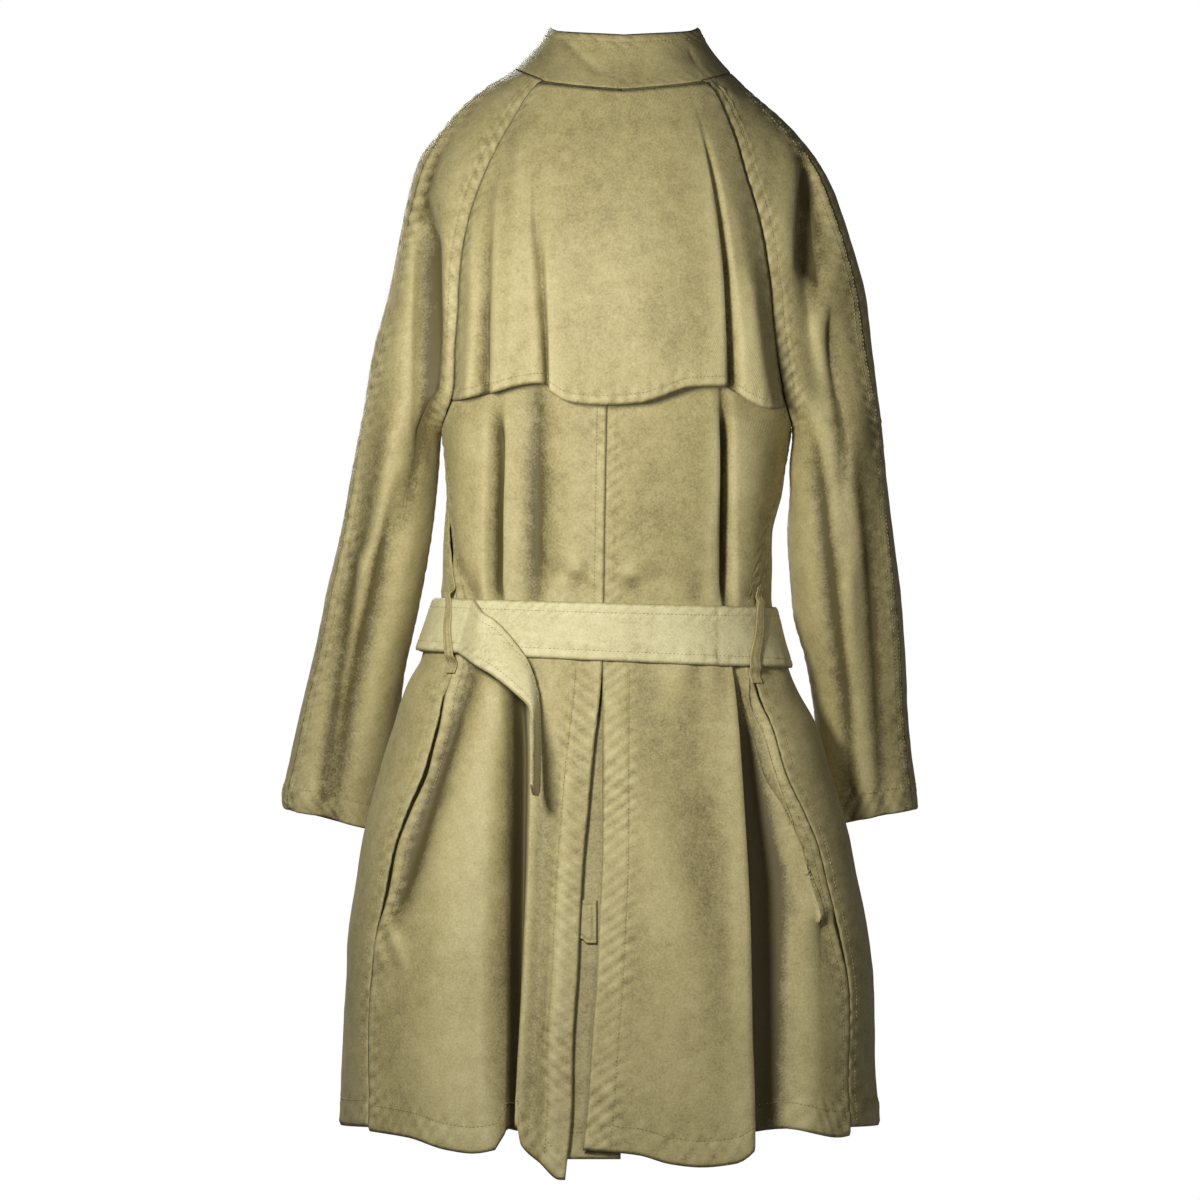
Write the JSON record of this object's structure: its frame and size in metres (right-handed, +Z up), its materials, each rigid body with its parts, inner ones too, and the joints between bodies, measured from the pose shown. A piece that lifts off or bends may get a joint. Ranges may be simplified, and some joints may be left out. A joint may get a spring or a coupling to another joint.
{
  "type": "belted raglan trench coat",
  "caption": "Cotton twill trench coat, filled out with no wearer: stand collar, raglan sleeves, storm flap across the back, belt through side loops, centre back vent with underlay",
  "frame": {"origin": "the nape: the height of the neck seam at the middle of the back, inside the neck opening where the wearer's neck and shoulders hold the coat", "axes": "+Z up along the standing wearer, -Y the wearer's front, +Y the back, +X the wearer's left"},
  "size_m": [0.5738, 0.3558, 1.033],
  "materials": {
    "cotton_twill": "garment-dyed khaki cotton twill with a soft sheen",
    "belt_twill": "the same twill doubled over a stiffener",
    "resin": "polished dark horn-coloured resin"
  },
  "bodies": {
    "root": {"back_left": "cotton_twill", "back_right": "cotton_twill", "front_left": "cotton_twill", "front_right": "cotton_twill", "sleeve_left_back": "cotton_twill", "sleeve_left_front": "cotton_twill", "sleeve_right_back": "cotton_twill", "sleeve_right_front": "cotton_twill", "collar": "cotton_twill", "storm_flap": "cotton_twill", "vent_underlay": "cotton_twill", "vent_tab": "cotton_twill", "belt": "belt_twill", "belt_loop_left": "cotton_twill", "belt_loop_right": "cotton_twill", "buckle": "resin", "button_1": "resin", "button_2": "resin", "button_3": "resin", "button_4": "resin", "button_5": "resin"}
  },
  "joints": []
}
